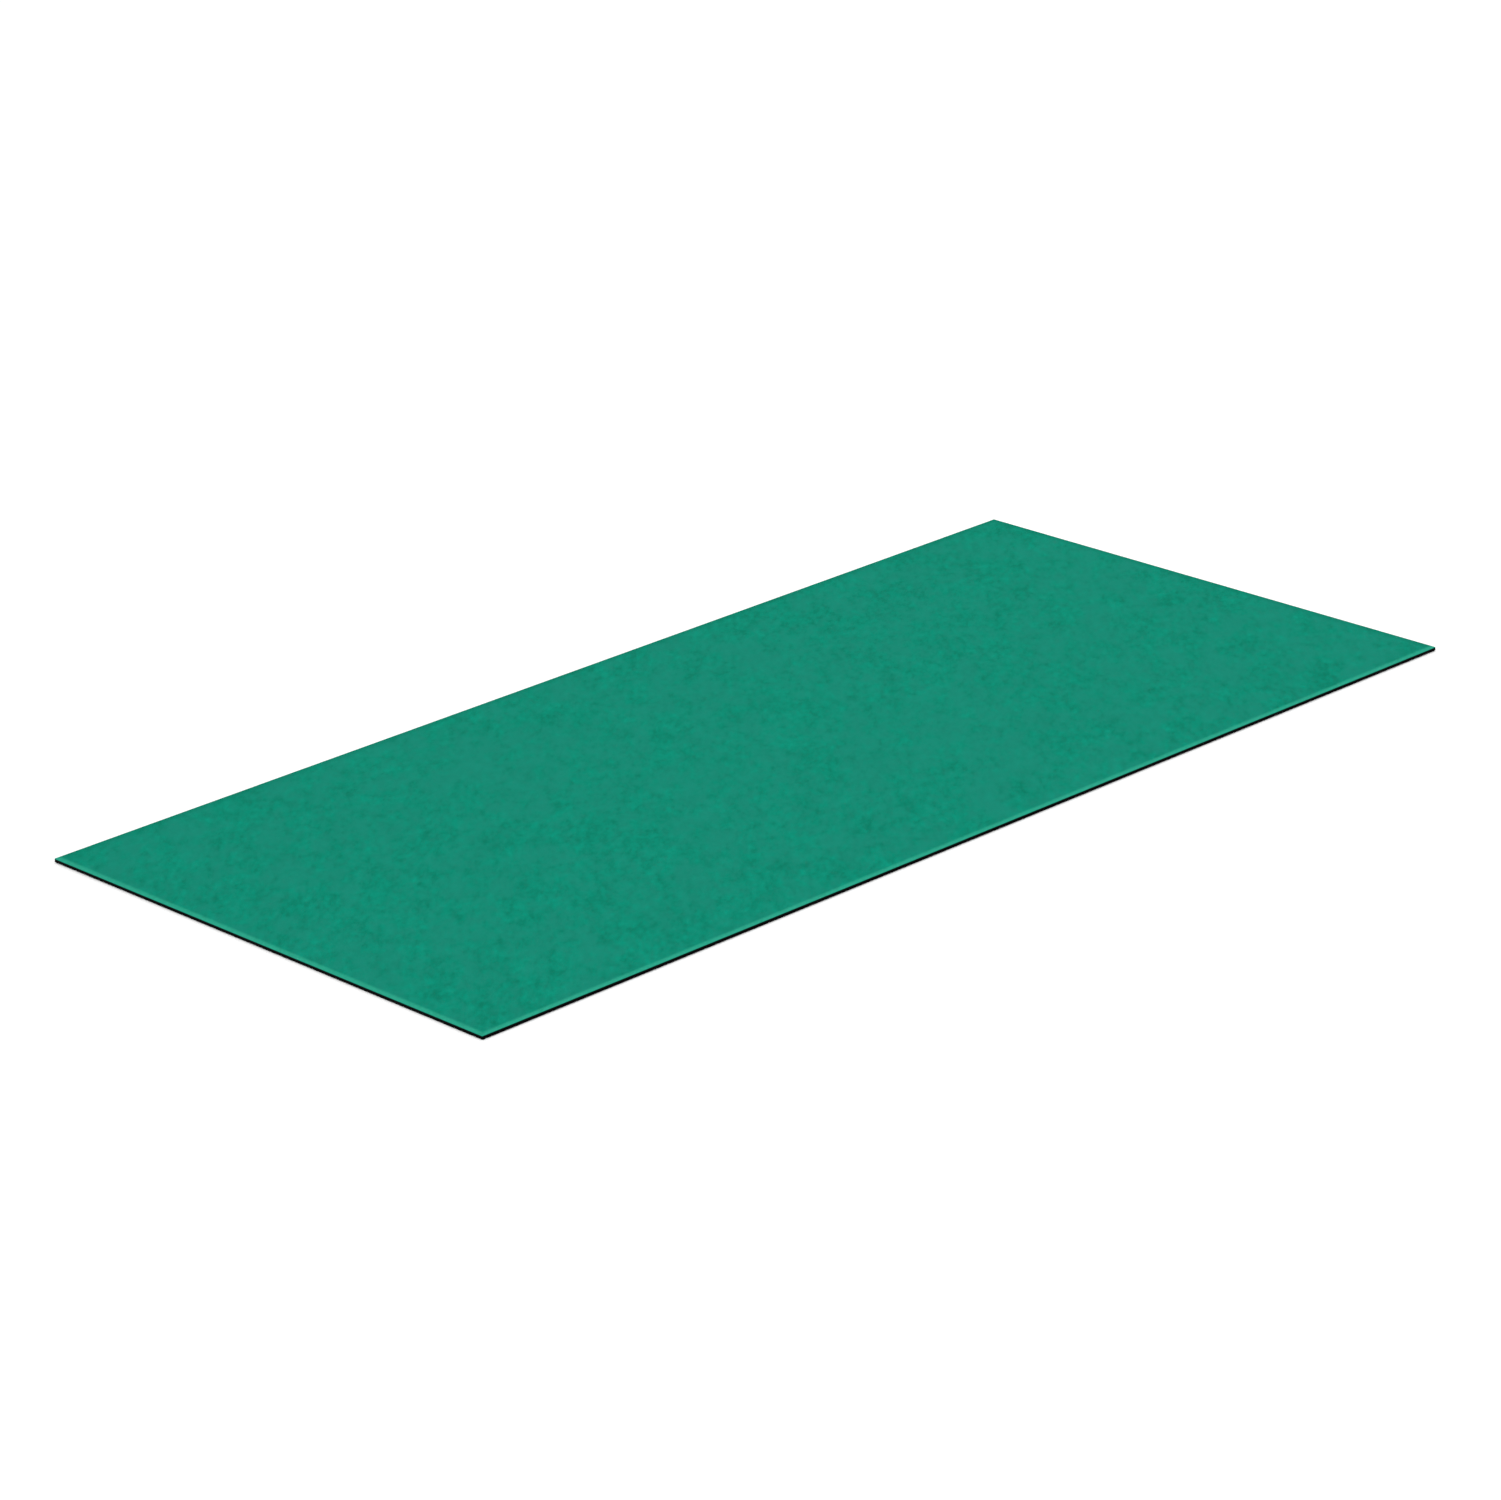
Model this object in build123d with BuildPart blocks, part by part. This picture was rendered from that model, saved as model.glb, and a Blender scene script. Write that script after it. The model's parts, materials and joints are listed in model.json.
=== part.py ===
from build123d import *
import os

# Folding poker table top: two thin rigid boards under one felt playing cloth,
# hinged by a woven tape below the cloth, so the top folds in half with the
# felt inside. The boards stop a little short of each other, and the cloth
# bridges the gap. Right and left halves are mirror images about the fold.
#
# Frame: millimetres, +Z up, +X along the length, +Y from the front to the rear.
# Origin: on the surface the top rests on, at the middle of the length and width.

# ---------------------------------------------------------------- dimensions
length = 1828.8          # open length, 72 in
width = 914.4            # width, 36 in
fold_gap = 2.2           # between the two boards' meeting edges, bridged by the cloth
cloth_clearance = 0.1    # cloth leaves to the fold line, and felt to the hinge axis

foot_diameter = 25.0
foot_height = 1.0
foot_edge = 0.25         # chamfer around the foot's lower rim
groove_depth = 0.3       # concentric grip grooves in the foot's lower face
groove_width = 1.0
groove_radii = (9.5, 6.5, 3.5)   # outermost first
foot_inset = 45.0        # foot centre from the outer edges
fold_foot_inset = 40.0   # foot centre from the fold line

backing_thickness = 0.3
board_thickness = 4.0
tape_thickness = 0.3
tape_leaf_width = 25.0
felt_thickness = 1.0

band_thickness = 0.8
band_scrape = 0.25       # scraped lower outer arris of the edge bands
corner_radius = 0.6      # rounding of the top's four outer corners
fold_arris = 0.4         # eased top arris beside the fold, where the cloth bends
felt_arris = 0.2         # softened upper arris of the cut felt

# ------------------------------------------------------------ derived levels
z_underside = foot_height
z_board = z_underside + backing_thickness
z_board_top = z_board + board_thickness
z_tape = z_board_top - tape_thickness
z_top = z_board_top + felt_thickness

x_end = -length / 2                        # outer end of the left half
x_fold = -fold_gap / 2                     # fold side of the left half's rigid pieces
x_cloth = -cloth_clearance                 # fold side of the left half's cloth leaves
y_front = -width / 2
y_rear = width / 2
x_board_end = x_end + band_thickness
x_board_fold = x_fold - band_thickness
y_board = width / 2 - band_thickness       # half the board's width
half_length = x_fold - x_end
board_length = x_board_fold - x_board_end
half_centre = (x_fold + x_end) / 2
board_centre = (x_board_fold + x_board_end) / 2
felt_length = x_cloth - x_end
felt_centre = (x_cloth + x_end) / 2
tape_centre = x_cloth - tape_leaf_width / 2

print("open", length, "x", width, "x", round(z_top, 3))
print("folded", round(length / 2, 3), "x", width, "x", round(2 * (z_top + cloth_clearance), 3))

os.makedirs("parts", exist_ok=True)

# ----------------------------------------------------------------- left half

# Core panel, with a shallow rebate along the fold that takes the tape leaf.
with BuildPart() as left_board:
    with BuildSketch(Plane((board_centre, 0, z_board))):
        Rectangle(board_length, 2 * y_board)
    extrude(amount=board_thickness)
    with BuildSketch(Plane((tape_centre, 0, z_tape))):
        Rectangle(tape_leaf_width, 2 * y_board)
    extrude(amount=tape_thickness, mode=Mode.SUBTRACT)

# Thin sheet laminated on the whole underside of the core panel.
with BuildPart() as left_backing:
    with BuildSketch(Plane((board_centre, 0, z_underside))):
        Rectangle(board_length, 2 * y_board)
    extrude(amount=backing_thickness)

# Front band: runs the full length of the half and covers the ends of the
# end band and the fold band. Its top is level with the board's, and its top
# arris is eased at the fold, where the cloth bends.
with BuildPart() as left_front_edge_band:
    with BuildSketch(Plane((half_centre, y_front + band_thickness / 2, z_underside))):
        Rectangle(half_length, band_thickness)
    extrude(amount=z_board_top - z_underside)
    chamfer(
        left_front_edge_band.edges().filter_by(Axis.Y).group_by(Axis.Z)[-1].sort_by(Axis.X)[-1],
        length=fold_arris,
    )
    fillet(
        left_front_edge_band.edges().filter_by(Axis.Z).group_by(Axis.X)[0].sort_by(Axis.Y)[0],
        radius=corner_radius,
    )
    chamfer(
        left_front_edge_band.edges().filter_by(Axis.X).group_by(Axis.Z)[0].sort_by(Axis.Y)[0],
        length=band_scrape,
    )

# Rear band: the same strip on the other long side.
with BuildPart() as left_rear_edge_band:
    mirror(left_front_edge_band.part, about=Plane.XZ)

# End band: between the front and rear bands, on the short outer side.
with BuildPart() as left_end_edge_band:
    with BuildSketch(Plane((x_end + band_thickness / 2, 0, z_underside))):
        Rectangle(band_thickness, 2 * y_board)
    extrude(amount=z_board_top - z_underside)
    chamfer(
        left_end_edge_band.edges().filter_by(Axis.Y).group_by(Axis.Z)[0].sort_by(Axis.X)[0],
        length=band_scrape,
    )

# Fold band: closes the board's meeting edge, up to the underside of the tape,
# with its upper arris eased where tape and felt bend around it.
with BuildPart() as left_fold_edge_band:
    with BuildSketch(Plane((x_fold - band_thickness / 2, 0, z_underside))):
        Rectangle(band_thickness, 2 * y_board)
    extrude(amount=z_tape - z_underside)
    chamfer(
        left_fold_edge_band.edges().filter_by(Axis.Y).group_by(Axis.Z)[-1].sort_by(Axis.X)[-1],
        length=fold_arris,
    )

# Tape leaf: this half's share of the woven hinge tape, let into the board and
# reaching out over half of the fold gap. When the halves are closed, the faces
# the leaves are glued to stand about as far apart as the gap is wide, so the
# tape hardly needs to stretch.
with BuildPart() as left_hinge_tape:
    with BuildSketch(Plane((tape_centre, 0, z_tape))):
        Rectangle(tape_leaf_width, 2 * y_board)
    extrude(amount=tape_thickness)

# Felt leaf: this half's share of the playing cloth, trimmed flush with the
# outer faces of the edge bands, and reaching out over half of the fold gap.
with BuildPart() as left_felt:
    with BuildSketch(Plane((felt_centre, 0, z_board_top))):
        Rectangle(felt_length, width)
    extrude(amount=felt_thickness)
    fillet(
        left_felt.edges().filter_by(Axis.Z).group_by(Axis.X)[0],
        radius=corner_radius,
    )
    chamfer(
        left_felt.faces().sort_by(Axis.Z)[-1].edges().filter_by(Axis.X),
        length=felt_arris,
    )

# ---------------------------------------------------------------- right half

with BuildPart() as right_board:
    mirror(left_board.part, about=Plane.YZ)

with BuildPart() as right_backing:
    mirror(left_backing.part, about=Plane.YZ)

with BuildPart() as right_front_edge_band:
    mirror(left_front_edge_band.part, about=Plane.YZ)

with BuildPart() as right_rear_edge_band:
    mirror(left_rear_edge_band.part, about=Plane.YZ)

with BuildPart() as right_end_edge_band:
    mirror(left_end_edge_band.part, about=Plane.YZ)

with BuildPart() as right_fold_edge_band:
    mirror(left_fold_edge_band.part, about=Plane.YZ)

with BuildPart() as right_hinge_tape:
    mirror(left_hinge_tape.part, about=Plane.YZ)

with BuildPart() as right_felt:
    mirror(left_felt.part, about=Plane.YZ)

pieces = {
    "left_board": left_board,
    "left_backing": left_backing,
    "left_front_edge_band": left_front_edge_band,
    "left_rear_edge_band": left_rear_edge_band,
    "left_end_edge_band": left_end_edge_band,
    "left_fold_edge_band": left_fold_edge_band,
    "left_hinge_tape": left_hinge_tape,
    "left_felt": left_felt,
    "right_board": right_board,
    "right_backing": right_backing,
    "right_front_edge_band": right_front_edge_band,
    "right_rear_edge_band": right_rear_edge_band,
    "right_end_edge_band": right_end_edge_band,
    "right_fold_edge_band": right_fold_edge_band,
    "right_hinge_tape": right_hinge_tape,
    "right_felt": right_felt,
}

# ---------------------------------------------------------------------- feet

# Self-adhesive rubber pads under the backing, three by three on each half:
# by the corners, along the edges, beside the fold and in the middle.
columns = {
    "outer": -(length / 2 - foot_inset),
    "centre": -(length / 2 - foot_inset + fold_foot_inset) / 2,
    "inner": -fold_foot_inset,
}
rows = {
    "front": -(width / 2 - foot_inset),
    "middle": 0.0,
    "rear": width / 2 - foot_inset,
}

for half, side in (("left", 1), ("right", -1)):
    for row, y in rows.items():
        for column, x in columns.items():
            with BuildPart() as foot:
                with BuildSketch(Plane((side * x, y, 0))):
                    Circle(foot_diameter / 2)
                extrude(amount=foot_height)
                chamfer(foot.faces().sort_by(Axis.Z)[0].edges(), length=foot_edge)
                with BuildSketch(Plane((side * x, y, 0))):
                    for radius in groove_radii:
                        Circle(radius + groove_width / 2)
                        Circle(radius - groove_width / 2, mode=Mode.SUBTRACT)
                extrude(amount=groove_depth, mode=Mode.SUBTRACT)
            pieces[f"{half}_foot_{row}_{column}"] = foot

# -------------------------------------------------------------------- export

for name, piece in pieces.items():
    piece.part.label = name
    export_step(piece.part, f"parts/{name}.step")
print(len(pieces), "pieces")
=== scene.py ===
import json
import math

import bpy
import numpy as np
from mathutils import Matrix, Vector


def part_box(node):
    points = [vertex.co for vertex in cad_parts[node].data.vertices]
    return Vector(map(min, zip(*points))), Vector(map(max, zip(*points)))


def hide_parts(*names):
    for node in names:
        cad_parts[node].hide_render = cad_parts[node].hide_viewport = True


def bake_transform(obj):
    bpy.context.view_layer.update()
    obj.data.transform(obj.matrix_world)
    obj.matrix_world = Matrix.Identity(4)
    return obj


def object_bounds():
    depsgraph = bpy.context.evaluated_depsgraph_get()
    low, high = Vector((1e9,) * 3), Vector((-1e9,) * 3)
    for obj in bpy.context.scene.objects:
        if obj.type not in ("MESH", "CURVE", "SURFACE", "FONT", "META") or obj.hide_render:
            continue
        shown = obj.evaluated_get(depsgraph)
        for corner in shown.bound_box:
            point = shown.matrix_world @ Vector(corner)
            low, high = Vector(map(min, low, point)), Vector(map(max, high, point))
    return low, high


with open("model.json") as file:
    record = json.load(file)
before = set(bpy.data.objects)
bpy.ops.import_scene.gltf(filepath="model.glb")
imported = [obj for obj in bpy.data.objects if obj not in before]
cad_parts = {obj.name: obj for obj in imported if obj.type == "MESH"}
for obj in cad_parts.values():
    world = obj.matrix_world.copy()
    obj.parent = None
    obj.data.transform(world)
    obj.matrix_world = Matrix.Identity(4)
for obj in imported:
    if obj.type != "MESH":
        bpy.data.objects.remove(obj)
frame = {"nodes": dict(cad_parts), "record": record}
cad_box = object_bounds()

MM = 0.001
scene = bpy.context.scene
record = frame["record"]

lo, hi = cad_box
LENGTH = hi.x - lo.x
WIDTH = hi.y - lo.y
TOP = hi.z


# ---------------------------------------------------------------- camera
# A long lens, a little rolled, looking along the length from the left front corner.

def make_camera():
    az, el, roll = math.radians(-41.545), math.radians(21.143), math.radians(-3.191)
    distance, target = 8.1490, Vector((-0.01557, 0.01528, TOP))
    back = Vector((math.sin(az) * math.cos(el), -math.cos(az) * math.cos(el), math.sin(el)))
    right = Vector((0, 0, 1)).cross(back).normalized()
    up = back.cross(right)
    c, s = math.cos(roll), math.sin(roll)
    x_axis, y_axis = right * c + up * s, up * c - right * s
    data = bpy.data.cameras.new("camera")
    data.sensor_width = 36.0
    data.lens = 137.575
    data.clip_start, data.clip_end = 0.1, 200.0
    cam = bpy.data.objects.new("camera", data)
    scene.collection.objects.link(cam)
    m = Matrix.Identity(4)
    for i, v in enumerate((x_axis, y_axis, back)):
        for j in range(3):
            m[j][i] = v[j]
    place = target + back * distance
    for j in range(3):
        m[j][3] = place[j]
    cam.matrix_world = m
    scene.camera = cam


# ------------------------------------------------------------- node helpers

class Mat:
    """A material and its node tree, with short calls for the nodes used here."""

    def __init__(self, name):
        self.mat = bpy.data.materials.new(name)
        self.mat.use_nodes = True
        self.tree = self.mat.node_tree
        self.tree.nodes.clear()
        self.out = self.add("ShaderNodeOutputMaterial")
        self.bsdf = self.add("ShaderNodeBsdfPrincipled")
        self.link(self.bsdf.outputs["BSDF"], self.out.inputs["Surface"])

    def add(self, kind, **props):
        node = self.tree.nodes.new(kind)
        for k, v in props.items():
            setattr(node, k, v)
        return node

    def link(self, a, b):
        self.tree.links.new(a, b)

    def put(self, socket, value):
        if hasattr(value, "is_output"):
            self.link(value, socket)
        else:
            socket.default_value = value

    def rest(self):
        """Coordinates in metres that stay with the cloth when it bends."""
        return self.add("ShaderNodeAttribute", attribute_name="rest").outputs["Vector"]

    def position(self):
        return self.add("ShaderNodeTexCoord").outputs["Object"]

    def mapped(self, vector, scale=(1, 1, 1), turn=(0, 0, 0), move=(0, 0, 0)):
        node = self.add("ShaderNodeMapping")
        self.put(node.inputs["Vector"], vector)
        node.inputs["Location"].default_value = move
        node.inputs["Rotation"].default_value = turn
        node.inputs["Scale"].default_value = scale
        return node.outputs["Vector"]

    def noise(self, vector, scale, detail=2.0, rough=0.5, distortion=0.0):
        node = self.add("ShaderNodeTexNoise")
        self.put(node.inputs["Vector"], vector)
        node.inputs["Scale"].default_value = scale
        node.inputs["Detail"].default_value = detail
        node.inputs["Roughness"].default_value = rough
        node.inputs["Distortion"].default_value = distortion
        return node.outputs["Fac"]

    def voronoi(self, vector, scale, feature="F1", randomness=1.0, output="Distance"):
        node = self.add("ShaderNodeTexVoronoi", feature=feature)
        self.put(node.inputs["Vector"], vector)
        node.inputs["Scale"].default_value = scale
        node.inputs["Randomness"].default_value = randomness
        return node.outputs[output]

    def math(self, operation, a, b=0.0, c=None, clamp=False):
        node = self.add("ShaderNodeMath", operation=operation, use_clamp=clamp)
        self.put(node.inputs[0], a)
        self.put(node.inputs[1], b)
        if c is not None:
            self.put(node.inputs[2], c)
        return node.outputs[0]

    def ramp(self, value, low, high, out_low=0.0, out_high=1.0):
        node = self.add("ShaderNodeMapRange", interpolation_type="SMOOTHSTEP")
        self.put(node.inputs["Value"], value)
        node.inputs["From Min"].default_value = low
        node.inputs["From Max"].default_value = high
        node.inputs["To Min"].default_value = out_low
        node.inputs["To Max"].default_value = out_high
        return node.outputs["Result"]

    def mix(self, fac, a, b):
        node = self.add("ShaderNodeMix", data_type="RGBA")
        self.put(node.inputs["Factor"], fac)
        self.put(node.inputs[6], a)
        self.put(node.inputs[7], b)
        return node.outputs[2]

    def bump(self, height, distance, strength=1.0, normal=None):
        node = self.add("ShaderNodeBump")
        node.inputs["Strength"].default_value = strength
        node.inputs["Distance"].default_value = distance
        self.put(node.inputs["Height"], height)
        if normal is not None:
            self.link(normal, node.inputs["Normal"])
        return node.outputs["Normal"]

    def separate(self, vector):
        node = self.add("ShaderNodeSeparateXYZ")
        self.put(node.inputs[0], vector)
        return node.outputs


def rgb(r, g, b):
    return (r, g, b, 1.0)


# ---------------------------------------------------------------- materials

def felt_material():
    """Pressed green felt: a mat of short fibres lying every way, soft clouds where the
    wool is denser, a painted highlight along the front and left edges and painted shade along the rear and right
    ones."""
    m = Mat("felt_green")
    p = m.rest()
    # the clouds are drawn out along the nap, which lies diagonally across the cloth
    nap = m.mapped(m.mapped(p, turn=(0, 0, math.radians(-48.4))), scale=(0.50, 1.0, 1.0))
    blotch = m.noise(nap, 24.0, 2.0, 0.55)
    patch = m.noise(nap, 76.0, 2.0, 0.5, 0.4)
    mottle = m.noise(m.mapped(nap, move=(5.3, 2.9, 1.1)), 105.0, 4.0, 0.58)
    clump = m.noise(nap, 230.0, 3.0, 0.6, 0.6)
    tint = m.noise(m.mapped(nap, move=(3.1, 1.7, 0.4)), 68.0, 4.0, 0.66)
    dye = m.noise(m.mapped(nap, move=(7.7, 4.1, 2.3)), 21.0, 2.0, 0.5)
    tint = m.math("ADD", tint, m.math("MULTIPLY", m.math("SUBTRACT", dye, 0.5), 0.80))
    fuzz = m.noise(p, 3400.0, 2.0, 0.6)

    # fibres: level lines of stretched noise, in several directions, each bent a little
    warp = m.add("ShaderNodeVectorMath", operation="MULTIPLY_ADD")
    curl = m.add("ShaderNodeTexNoise")
    m.put(curl.inputs["Vector"], p)
    curl.inputs["Scale"].default_value = 150.0
    curl.inputs["Detail"].default_value = 2.0
    m.link(curl.outputs["Color"], warp.inputs[0])
    warp.inputs[1].default_value = (0.0045, 0.0045, 0.0)
    m.link(p, warp.inputs[2])
    bent = warp.outputs[0]
    fibre = None
    for k, (along, across, thin) in enumerate((
        (150.0, 1150.0, 0.060), (95.0, 800.0, 0.050), (190.0, 1500.0, 0.075),
        (120.0, 980.0, 0.055), (210.0, 1700.0, 0.080), (105.0, 860.0, 0.050),
    )):
        turn = 0.35 + k * math.pi / 6
        v = m.mapped(bent, scale=(along, across, 1500.0), turn=(0, 0, turn), move=(1.3 * k, 0.7 * k, 0.4 * k))
        off = m.math("ABSOLUTE", m.math("SUBTRACT", m.noise(v, 1.0, 0.0, 0.5), 0.5))
        line = m.ramp(off, 0.0, thin, 1.0 - 0.09 * k, 0.0)
        fibre = line if fibre is None else m.math("MAXIMUM", fibre, line)

    shade = 0.5
    for layer, middle, share in (
        (blotch, 0.5, 0.55), (patch, 0.5, 0.86), (mottle, 0.5, 1.28),
        (clump, 0.5, 0.40), (fibre, 0.55, 0.50), (fuzz, 0.5, 0.35),
    ):
        shade = m.math("ADD", shade, m.math("MULTIPLY", m.math("SUBTRACT", layer, middle), share))
    shade = m.math("MINIMUM", m.math("MAXIMUM", shade, 0.0), 1.0)
    body = m.mix(shade, rgb(*FELT_DARK), rgb(*FELT_LIGHT))
    body = m.mix(m.ramp(tint, 0.30, 0.72, 0.05, 0.75), body, rgb(*FELT_GREYER))
    # painted highlight: the rim is paler on the front and the left end, the two sides that face the
    # key light and the camera; painted shade: it is a little darker along the rear and the right end
    xyz = m.separate(p)
    lit_side_distance = m.math("MINIMUM", m.math("ADD", xyz[0], LENGTH / 2), m.math("ADD", xyz[1], WIDTH / 2))
    shade_side_distance = m.math("MINIMUM", m.math("SUBTRACT", LENGTH / 2, xyz[0]), m.math("SUBTRACT", WIDTH / 2, xyz[1]))
    edge = m.ramp(lit_side_distance, 0.0042, 0.0118, 0.74, 0.0)
    # painted shade mask along the rear and right edges, faded out where the painted highlight is
    painted_shade_far_edges = m.math("MULTIPLY", m.ramp(shade_side_distance, 0.0080, 0.0140, 0.38, 0.0), m.math("SUBTRACT", 1.0, edge))
    edge = m.math("MULTIPLY", edge, m.ramp(xyz[2], TOP - 0.0007, TOP - 0.0001, 0.45, 1.0))
    # painted highlight mask along the front and left rim, broken up by noise and the fibres
    painted_highlight_rim = m.math("MULTIPLY", edge, m.ramp(m.noise(p, 520.0, 2.0, 0.6), 0.25, 0.7, 0.55, 1.0))
    painted_highlight_rim = m.math("MULTIPLY", painted_highlight_rim, m.ramp(fibre, 0.0, 1.0, 0.75, 1.0))
    # mixes painted shade into the rear and right edges and a painted highlight into the front and left ones
    colour = m.mix(painted_highlight_rim, m.mix(painted_shade_far_edges, body, rgb(*FELT_DARK)), rgb(*FELT_PAINTED_HIGHLIGHT))
    # painted shade: the foot of the cut face, where the felt sits on the board, is darkened
    colour = m.mix(m.ramp(xyz[2], TOP - 0.0010, TOP - 0.0004, 0.85, 0.0), colour, rgb(*FELT_PAINTED_FOOT_SHADE))
    m.put(m.bsdf.inputs["Base Color"], colour)
    m.put(m.bsdf.inputs["Roughness"], m.ramp(clump, 0.3, 0.7, 0.90, 1.0))
    m.bsdf.inputs["Specular IOR Level"].default_value = 0.02
    m.bsdf.inputs["Sheen Weight"].default_value = 0.06
    m.bsdf.inputs["Sheen Roughness"].default_value = 0.45
    m.bsdf.inputs["Sheen Tint"].default_value = rgb(0.03, 0.62, 0.42)
    height = m.math("ADD", m.math("MULTIPLY", fibre, 0.60), m.math("MULTIPLY", fuzz, 0.30))
    height = m.math("ADD", height, m.math("MULTIPLY", clump, 0.9))
    height = m.math("ADD", height, m.math("MULTIPLY", patch, 1.2))
    m.put(m.bsdf.inputs["Normal"], m.bump(height, 0.00022, 0.75))
    return m.mat


def tape_material():
    """Black plain-weave cotton tape: warp and weft about 0.6 mm apart."""
    m = Mat("tape_black")
    p = m.rest()
    xyz = m.separate(p)
    pitch = 2 * math.pi / 0.0006
    warp = m.math("SINE", m.math("MULTIPLY", xyz[0], pitch))
    weft = m.math("SINE", m.math("MULTIPLY", xyz[1], pitch))
    over = m.math("MULTIPLY", warp, weft)
    weave = m.math("MULTIPLY_ADD", over, 0.5, 0.5)
    thread = m.noise(m.mapped(p, scale=(3000.0, 700.0, 1500.0)), 1.0, 2.0, 0.6)
    wear = m.noise(p, 60.0, 3.0, 0.6)
    fac = m.math("ADD", m.math("MULTIPLY", weave, 0.6), m.math("MULTIPLY", thread, 0.4))
    dark = m.mix(fac, rgb(0.006, 0.006, 0.007), rgb(0.030, 0.030, 0.032))
    m.put(m.bsdf.inputs["Base Color"], m.mix(m.ramp(wear, 0.5, 0.8, 0.0, 0.35), dark, rgb(0.045, 0.044, 0.045)))
    m.bsdf.inputs["Roughness"].default_value = 0.92
    m.bsdf.inputs["Specular IOR Level"].default_value = 0.2
    m.bsdf.inputs["Sheen Weight"].default_value = 0.15
    m.bsdf.inputs["Sheen Tint"].default_value = rgb(0.35, 0.35, 0.37)
    m.put(m.bsdf.inputs["Normal"], m.bump(fac, 0.00012, 0.8))
    return m.mat


def band_material():
    """Black PVC edging: faint lines along the strip from extrusion, light handling scuffs."""
    m = Mat("edge_band_black")
    p = m.position()
    lines = m.noise(m.mapped(p, scale=(6.0, 6.0, 5200.0)), 1.0, 2.0, 0.5)
    grain = m.noise(p, 1700.0, 3.0, 0.6)
    scuff = m.ramp(m.noise(m.mapped(p, scale=(22.0, 22.0, 700.0)), 1.0, 4.0, 0.65), 0.58, 0.74)
    base = m.mix(m.ramp(grain, 0.3, 0.7), rgb(0.0006, 0.0006, 0.0007), rgb(0.0016, 0.0016, 0.0017))
    m.put(m.bsdf.inputs["Base Color"], m.mix(m.math("MULTIPLY", scuff, 0.25), base, rgb(0.012, 0.012, 0.013)))
    m.put(m.bsdf.inputs["Roughness"], m.math("ADD", m.ramp(lines, 0.3, 0.7, 0.42, 0.56), m.math("MULTIPLY", scuff, 0.16)))
    m.bsdf.inputs["Specular IOR Level"].default_value = 0.012
    height = m.math("ADD", m.math("MULTIPLY", lines, 0.6), m.math("MULTIPLY", grain, 0.4))
    m.put(m.bsdf.inputs["Normal"], m.bump(height, 0.00003, 0.6))
    return m.mat


def backing_material():
    """Black vinyl sheet with a fine pebble grain, dulled here and there by handling."""
    m = Mat("backing_black")
    p = m.position()
    warp = m.add("ShaderNodeVectorMath", operation="MULTIPLY_ADD")
    field = m.add("ShaderNodeTexNoise")
    m.put(field.inputs["Vector"], p)
    field.inputs["Scale"].default_value = 300.0
    m.link(field.outputs["Color"], warp.inputs[0])
    warp.inputs[1].default_value = (0.0009, 0.0009, 0.0)
    m.link(p, warp.inputs[2])
    bent = warp.outputs[0]
    cell = m.voronoi(bent, 520.0, "DISTANCE_TO_EDGE")
    pebble = m.ramp(cell, 0.0, 0.28)
    fine = m.noise(p, 2600.0, 2.0, 0.6)
    broad = m.noise(p, 9.0, 3.0, 0.55)
    hand = m.noise(m.mapped(p, move=(0.7, 2.1, 0.0)), 42.0, 4.0, 0.6)
    base = m.mix(pebble, rgb(0.0045, 0.0045, 0.0048), rgb(0.0110, 0.0110, 0.0116))
    base = m.mix(m.ramp(broad, 0.35, 0.75, 0.0, 0.25), base, rgb(0.0140, 0.0140, 0.0147))
    base = m.mix(m.ramp(hand, 0.60, 0.80, 0.0, 0.16), base, rgb(0.0300, 0.0297, 0.0297))
    m.put(m.bsdf.inputs["Base Color"], base)
    rough = m.math("ADD", m.ramp(hand, 0.3, 0.75, 0.54, 0.60), m.math("MULTIPLY", pebble, -0.05))
    m.put(m.bsdf.inputs["Roughness"], rough)
    m.bsdf.inputs["Specular IOR Level"].default_value = 0.16
    height = m.math("ADD", pebble, m.math("MULTIPLY", fine, 0.25))
    m.put(m.bsdf.inputs["Normal"], m.bump(height, 0.00008, 0.8))
    return m.mat


def board_material():
    """Brown hardboard: compressed short wood fibre."""
    m = Mat("board_hdf")
    p = m.position()
    fleck = m.noise(m.mapped(p, scale=(900.0, 900.0, 3600.0)), 1.0, 4.0, 0.65, 0.5)
    cloud = m.noise(p, 45.0, 3.0, 0.6)
    base = m.mix(m.ramp(fleck, 0.3, 0.7), rgb(0.165, 0.088, 0.040), rgb(0.340, 0.205, 0.108))
    m.put(m.bsdf.inputs["Base Color"], m.mix(m.ramp(cloud, 0.4, 0.7, 0.0, 0.3), base, rgb(0.215, 0.120, 0.058)))
    m.bsdf.inputs["Roughness"].default_value = 0.82
    m.put(m.bsdf.inputs["Normal"], m.bump(fleck, 0.00008, 0.6))
    return m.mat


def rubber_material():
    """Matt black rubber with a fine moulded texture and a little dust."""
    m = Mat("foot_rubber")
    p = m.position()
    grain = m.noise(p, 2200.0, 3.0, 0.65)
    dust = m.noise(p, 240.0, 4.0, 0.6)
    base = m.mix(m.ramp(grain, 0.3, 0.7), rgb(0.0150, 0.0150, 0.0155), rgb(0.0300, 0.0300, 0.0305))
    m.put(m.bsdf.inputs["Base Color"], m.mix(m.ramp(dust, 0.48, 0.75, 0.0, 0.35), base, rgb(0.070, 0.068, 0.065)))
    m.put(m.bsdf.inputs["Roughness"], m.ramp(dust, 0.4, 0.75, 0.66, 0.86))
    m.bsdf.inputs["Specular IOR Level"].default_value = 0.35
    m.put(m.bsdf.inputs["Normal"], m.bump(grain, 0.00005, 0.7))
    return m.mat


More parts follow.
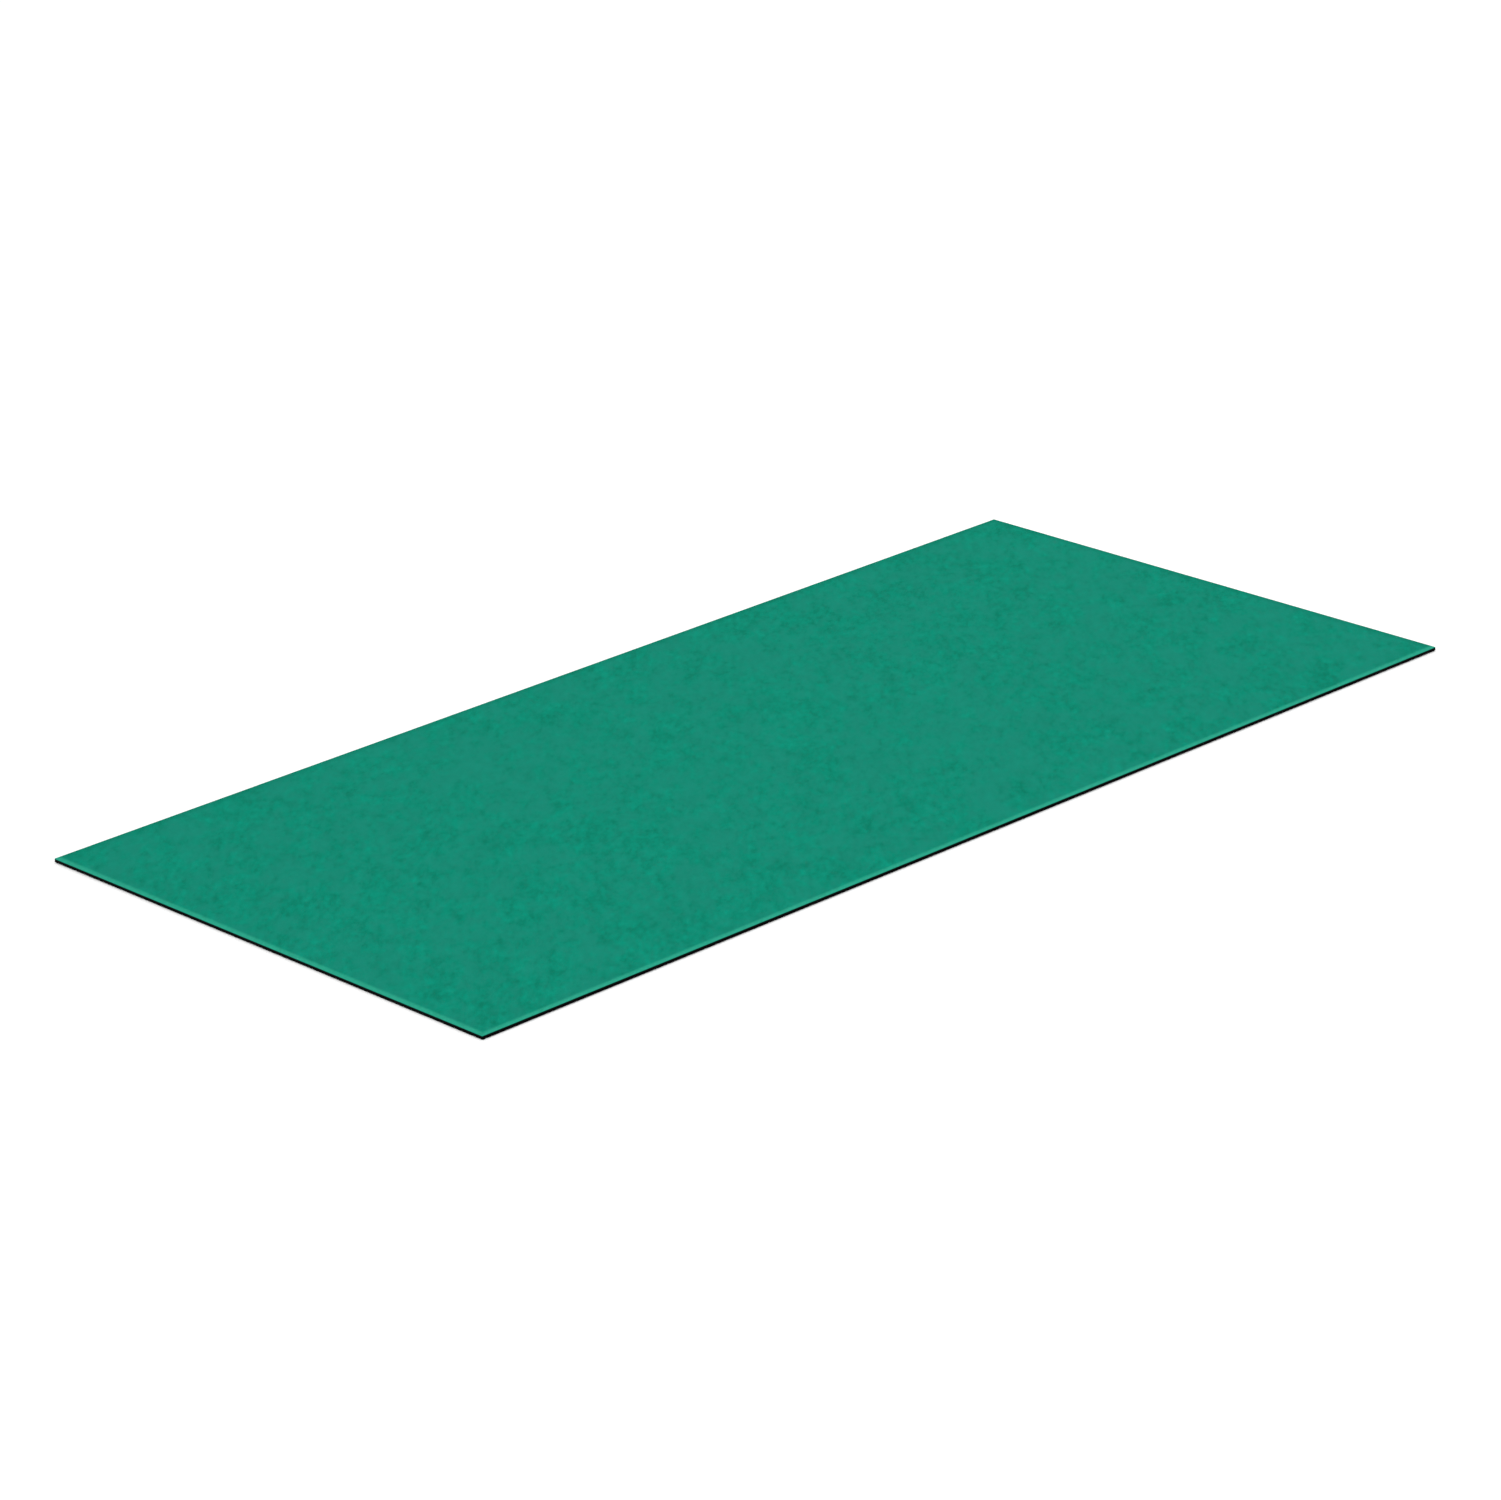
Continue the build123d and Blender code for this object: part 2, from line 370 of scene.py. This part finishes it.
# Linear colours of the felt; the mean of the mix is what the render shows.
FELT_DARK = (0.0004, 0.1410, 0.0845)
FELT_LIGHT = (0.0014, 0.2625, 0.1720)
FELT_GREYER = (0.0076, 0.199, 0.140)
# painted highlight colour for the front and left rim of the felt
FELT_PAINTED_HIGHLIGHT = (0.0340, 0.390, 0.255)
# painted shade colour for the foot of the felt's cut face
FELT_PAINTED_FOOT_SHADE = (0.0010, 0.030, 0.020)


# ------------------------------------------------------------ cloth sheets

def spaced(a, b, step):
    n = max(1, int(round((b - a) / step)))
    return list(np.linspace(a, b, n + 1))


def axis_lines(half, arris, step, fold=None):
    """Grid lines from -half to half: close together at the edges, and over the fold if there is one."""
    edge = [0.0, 0.35 * arris, arris, 2.2 * arris, 5 * arris, 12 * arris]
    left = [-half + e for e in edge]
    if fold is None:
        middle = spaced(left[-1], -left[-1], step)
        return np.array(left[:-1] + middle + [-x for x in reversed(left[:-1])])
    zone, fine = fold
    ladder = [zone]
    while ladder[-1] * 1.9 < step:
        ladder.append(ladder[-1] * 1.9)
    centre = spaced(-zone, zone, fine)
    inner = [-x for x in reversed(ladder[1:])]
    run = spaced(left[-1], inner[0], step)
    lhs = left[:-1] + run + inner[1:]
    return np.array(lhs + centre + [-x for x in reversed(lhs)])


def round_corners(x, y, half_x, half_y, r):
    """Moves points of a rectangle's four corners on to quarter circles of radius r."""
    u = np.clip((np.abs(x) - (half_x - r)) / r, 0, 1)
    v = np.clip((np.abs(y) - (half_y - r)) / r, 0, 1)
    both = (u > 0) & (v > 0)
    nu = np.where(both, u * np.sqrt(1 - v * v / 2), u)
    nv = np.where(both, v * np.sqrt(1 - u * u / 2), v)
    x = np.where(np.abs(x) > half_x - r, np.sign(x) * (half_x - r + nu * r), x)
    y = np.where(np.abs(y) > half_y - r, np.sign(y) * (half_y - r + nv * r), y)
    return x, y


def closed_sheet(name, xs, ys, z_low, z_high, arris, corner, relief, wander):
    """A closed sheet with eased upper arrises: a top grid, a bottom grid and the cut faces between.
    relief(x, y) lifts the top, and wander(s) moves the cut edge in by a little along its length."""
    half_x, half_y = xs[-1], ys[-1]
    gx, gy = np.meshgrid(xs, ys, indexing="ij")
    nx, ny = len(xs), len(ys)

    def shaped(x, y, inset):
        # pull the outline in by inset plus the wander of the cut
        wx = inset + wander(y * 1.7 + 0.31 * np.sign(x))
        wy = inset + wander(x * 1.3 + 0.77 * np.sign(y))
        near_x = np.clip((np.abs(x) - (half_x - 0.006)) / 0.006, 0, 1)
        near_y = np.clip((np.abs(y) - (half_y - 0.006)) / 0.006, 0, 1)
        x2 = x - np.sign(x) * near_x * wx
        y2 = y - np.sign(y) * near_y * wy
        return round_corners(x2, y2, half_x, half_y, corner)

    # top: eased towards the edge by the arris
    d = np.minimum(half_x - np.abs(gx), half_y - np.abs(gy))
    t = np.clip(1 - d / (2.2 * arris), 0, 1)
    tx, ty = shaped(gx, gy, 0.0)
    tz = z_high + relief(gx, gy) - arris * t * t * 0.9
    bx, by = shaped(gx, gy, 0.00005)
    bz = np.full_like(gx, z_low)
    verts = [np.stack([tx, ty, tz], -1).reshape(-1, 3), np.stack([bx, by, bz], -1).reshape(-1, 3)]

    loop = [(i, 0) for i in range(nx)] + [(nx - 1, j) for j in range(1, ny)]
    loop += [(i, ny - 1) for i in range(nx - 2, -1, -1)] + [(0, j) for j in range(ny - 2, 0, -1)]
    ids = np.array([i * ny + j for i, j in loop])
    side_levels = (0.30, 0.62)
    base = nx * ny * 2
    rings = [ids]
    for k, share in enumerate(side_levels):
        top_ring, low_ring = verts[0][ids], verts[1][ids]
        ring = top_ring * (1 - share) + low_ring * share
        # the cut face bellies out by a few hundredths where the fibres spring open
        out = np.where(np.abs(ring[:, :1]) > half_x - 0.002, 1.0, 0.0), np.where(np.abs(ring[:, 1:2]) > half_y - 0.002, 1.0, 0.0)
        ring[:, :1] += np.sign(ring[:, :1]) * out[0] * 0.00003
        ring[:, 1:2] += np.sign(ring[:, 1:2]) * out[1] * 0.00003
        verts.append(ring)
        rings.append(np.arange(base + k * len(ids), base + (k + 1) * len(ids)))
    rings.append(ids + nx * ny)
    co = np.concatenate(verts)

    faces = []
    i, j = np.meshgrid(np.arange(nx - 1), np.arange(ny - 1), indexing="ij")
    a = (i * ny + j).ravel()
    top = np.stack([a, a + ny, a + ny + 1, a + 1], -1)
    faces.append(top)
    faces.append(top[:, ::-1] + nx * ny)
    for upper, lower in zip(rings[:-1], rings[1:]):
        faces.append(np.stack([upper, lower, np.roll(lower, -1), np.roll(upper, -1)], -1))
    quads = np.concatenate(faces)

    mesh = bpy.data.meshes.new(name)
    mesh.vertices.add(len(co))
    mesh.vertices.foreach_set("co", co.astype(np.float32).ravel())
    mesh.loops.add(len(quads) * 4)
    mesh.loops.foreach_set("vertex_index", quads.astype(np.int32).ravel())
    mesh.polygons.add(len(quads))
    mesh.polygons.foreach_set("loop_start", np.arange(0, len(quads) * 4, 4, dtype=np.int32))
    mesh.polygons.foreach_set("use_smooth", np.ones(len(quads), bool))
    mesh.update(calc_edges=True)
    mesh.validate()

    rest = mesh.attributes.new("rest", "FLOAT_VECTOR", "POINT")
    rest.data.foreach_set("vector", co.astype(np.float32).ravel())

    uv = mesh.uv_layers.new(name="flat")
    loops = np.zeros(len(mesh.loops), np.int32)
    mesh.loops.foreach_get("vertex_index", loops)
    flat = co[loops][:, :2]
    uv.data.foreach_set("uv", flat.astype(np.float32).ravel())

    obj = bpy.data.objects.new(name, mesh)
    scene.collection.objects.link(obj)
    return obj


def waves(seed, count, low, high, amplitude):
    """A smooth fixed surface made of a few long waves."""
    rng = np.random.default_rng(seed)
    k = rng.uniform(low, high, count) * 2 * math.pi
    a = rng.uniform(0, 2 * math.pi, count)
    phase = rng.uniform(0, 2 * math.pi, count)

    def height(x, y):
        total = np.zeros_like(x)
        for ki, ai, pi in zip(k, a, phase):
            total += np.sin(ki * (x * math.cos(ai) + y * math.sin(ai)) + pi)
        return total * amplitude / math.sqrt(count)

    return height


def wandering(seed, amplitude):
    rng = np.random.default_rng(seed)
    k = rng.uniform(4, 45, 7) * 2 * math.pi
    phase = rng.uniform(0, 2 * math.pi, 7)

    def inset(s):
        total = sum(np.sin(ki * s + pi) for ki, pi in zip(k, phase)) / 7
        return amplitude * (0.5 + 0.5 * total)

    return inset


def make_felt():
    low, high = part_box("left_felt")
    r_low, r_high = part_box("right_felt")
    half_x, half_y = r_high.x, high.y
    zone = 1.1 * MM
    xs = axis_lines(half_x, 0.30 * MM, 8 * MM, fold=(1.35 * zone, 0.15 * MM))
    ys = axis_lines(half_y, 0.30 * MM, 8 * MM)
    swell = waves(11, 9, 6, 22, 0.000022)

    def relief(x, y):
        crease = -0.00005 * np.exp(-(x / 0.0016) ** 2)
        return swell(x, y) + crease

    felt = closed_sheet("playing_felt", xs, ys, low.z, high.z, 0.30 * MM, 0.7 * MM, relief, wandering(5, 0.00010))
    felt.data.materials.append(felt_material())
    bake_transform(felt)
    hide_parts("left_felt", "right_felt")
    return felt


def make_tape():
    low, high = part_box("left_hinge_tape")
    r_low, r_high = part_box("right_hinge_tape")
    half_x, half_y = r_high.x, high.y
    zone = 1.1 * MM
    xs = axis_lines(half_x, 0.08 * MM, 3 * MM, fold=(1.35 * zone, 0.15 * MM))
    ys = axis_lines(half_y, 0.08 * MM, 6 * MM)

    def relief(x, y):
        return np.zeros_like(x)

    tape = closed_sheet("hinge_tape", xs, ys, low.z, high.z, 0.08 * MM, 0.2 * MM, relief, wandering(8, 0.00004))
    tape.data.materials.append(tape_material())
    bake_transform(tape)
    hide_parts("left_hinge_tape", "right_hinge_tape")
    return tape


# -------------------------------------------------------------- CAD pieces

def dress_cad_nodes():
    made = {
        "edge_band_black": band_material(),
        "backing_black": backing_material(),
        "board_hdf": board_material(),
        "foot_rubber": rubber_material(),
    }
    slots = {s["node"]: s["material_slot"] for s in record["subparts"]}
    for name, obj in frame["nodes"].items():
        kind = slots[name]
        if kind in made:
            obj.data.materials.clear()
            obj.data.materials.append(made[kind])


# ------------------------------------------------------------------- stage

def make_stage():
    m = Mat("floor_white")
    p = m.position()
    soft = m.noise(p, 3.0, 2.0, 0.5)
    m.put(m.bsdf.inputs["Base Color"], m.mix(soft, rgb(0.955, 0.955, 0.955), rgb(0.97, 0.97, 0.97)))
    m.bsdf.inputs["Roughness"].default_value = 1.0
    m.bsdf.inputs["Specular IOR Level"].default_value = 0.0
    n, radius = 96, 90.0
    ring = [(radius * math.cos(2 * math.pi * k / n), radius * math.sin(2 * math.pi * k / n), 0.0) for k in range(n)]
    mesh = bpy.data.meshes.new("floor")
    mesh.from_pydata(ring, [], [list(range(n))])
    floor = bpy.data.objects.new("floor", mesh)
    floor.location.z = lo.z - 0.00002
    floor.data.materials.append(m.mat)
    scene.collection.objects.link(floor)

    world = bpy.data.worlds.new("studio")
    world.use_nodes = True
    world.node_tree.nodes["Background"].inputs["Color"].default_value = (1, 1, 1, 1)
    world.node_tree.nodes["Background"].inputs["Strength"].default_value = WORLD
    scene.world = world

    for name, place, size, power in (
        ("key", (-2.2, -2.6, 3.6), 3.2, KEY),
        ("fill", (3.2, 1.2, 3.0), 3.0, FILL),
    ):
        data = bpy.data.lights.new(name, "AREA")
        data.shape = "DISK"
        data.size = size
        data.energy = power
        light = bpy.data.objects.new(name, data)
        light.location = place
        light.rotation_mode = "QUATERNION"
        light.rotation_quaternion = (-Vector(place)).to_track_quat("-Z", "Y")
        scene.collection.objects.link(light)

    scene.view_settings.view_transform = "Standard"
    scene.view_settings.look = "None"
    scene.view_settings.exposure = 0.0
    scene.view_settings.gamma = 1.0


WORLD, KEY, FILL = 1.04, 53.0, 31.0

make_camera()
make_stage()
make_felt()
make_tape()
dress_cad_nodes()
